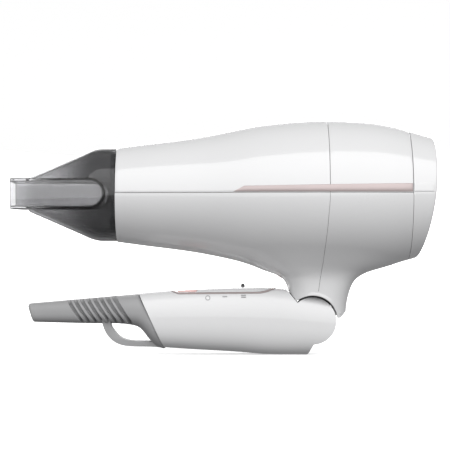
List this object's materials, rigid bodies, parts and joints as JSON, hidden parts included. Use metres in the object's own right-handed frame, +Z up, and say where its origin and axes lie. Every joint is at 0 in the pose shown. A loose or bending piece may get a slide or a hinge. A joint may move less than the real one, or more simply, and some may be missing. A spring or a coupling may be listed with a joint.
{
  "type": "hair dryer",
  "caption": "Folding hand-held hair dryer with a swelling round barrel, flat slot nozzle, fold-forward handle with slide switch, cool-shot button and hanging loop.",
  "frame": {"origin": "centre of the bounding box in X and Y, on the plane that the folded handle rests on", "axes": "+X along the barrel towards the air inlet, -X towards the nozzle, +Y across to the dryer's far side, +Z up from the folded handle to the barrel"},
  "size_m": [0.2515, 0.0904, 0.1406],
  "materials": {
    "white_gloss": "glossy white moulded ABS",
    "satin_white": "satin white moulded ABS",
    "rose_trim": "metallised rose-taupe trim",
    "rose_button": "glossy rose button",
    "smoke_nozzle": "smoke-grey translucent polycarbonate",
    "grey_rubber": "soft grey moulded rubber",
    "dark_plastic": "dark heat-resistant plastic",
    "grey_plastic": "grey glass-filled nylon",
    "mica_sheet": "laminated mica sheet",
    "heater_wire": "nickel-chrome resistance wire",
    "steel": "zinc-plated or drawn steel",
    "light_lens": "rose-tinted translucent lens",
    "nylon": "natural nylon",
    "board_green": "green circuit board"
  },
  "bodies": {
    "housing": {"front_upper_shell": "white_gloss", "rear_upper_shell": "white_gloss", "front_lower_shell": "satin_white", "rear_lower_shell": "satin_white", "trim_strip_left": "rose_trim", "trim_strip_right": "rose_trim", "ion_light": "light_lens", "outlet_grille": "dark_plastic", "mica_tube": "mica_sheet", "mica_board_upright": "mica_sheet", "mica_board_level": "mica_sheet", "heater_coil_front": "heater_wire", "heater_coil_rear": "heater_wire", "thermostat": "dark_plastic", "thermal_fuse": "steel", "fan_duct": "grey_plastic", "motor": "steel", "motor_screw_left": "steel", "motor_screw_right": "steel", "ioniser_module": "dark_plastic", "ioniser_needle": "steel", "hinge_knuckle": "dark_plastic"},
    "handle": {"handle_left_shell": "satin_white", "handle_right_shell": "satin_white", "switch_panel": "white_gloss", "panel_trim": "rose_trim", "button_spring": "steel", "switch_body": "dark_plastic", "switch_board": "board_green", "cord_clamp": "dark_plastic", "strain_relief": "grey_rubber", "handle_screw_front": "steel", "handle_screw_rear": "steel", "hinge_pin": "steel", "hinge_washer_left": "nylon", "hinge_washer_right": "nylon"},
    "nozzle": {"concentrator_nozzle": "smoke_nozzle"},
    "fan": {"impeller": "dark_plastic", "motor_shaft": "steel"},
    "rear_cover": {"rear_cover": "white_gloss", "rear_filter": "steel"},
    "slider": {"slider_knob": "dark_plastic"},
    "cool_shot": {"cool_shot_button": "rose_button"}
  },
  "joints": [
    {"name": "handle_fold", "type": "hinge", "parent": "housing", "child": "handle", "pos_m": [0.0526, 0, 0.0202], "axis": [0, -1, 0], "range_deg": [0, 94]},
    {"name": "nozzle_turn", "type": "hinge", "parent": "housing", "child": "nozzle", "pos_m": [-0.0636, 0, 0.0954], "axis": [-1, 0, 0], "continuous": true},
    {"name": "fan_spin", "type": "hinge", "parent": "housing", "child": "fan", "pos_m": [0.09, 0, 0.0954], "axis": [1, 0, 0], "continuous": true},
    {"name": "rear_cover_pull", "type": "slide", "parent": "housing", "child": "rear_cover", "axis": [1, 0, 0], "range_m": [0, 0.02]},
    {"name": "speed_slide", "type": "slide", "parent": "handle", "child": "slider", "axis": [-1, 0, 0], "range_m": [0, 0.021]},
    {"name": "cool_shot_press", "type": "slide", "parent": "handle", "child": "cool_shot", "axis": [0, 0, -1], "range_m": [0, 0.0015], "stiffness_N_per_m": 400, "springref_m": -0.002, "deforming": ["button_spring"]}
  ]
}
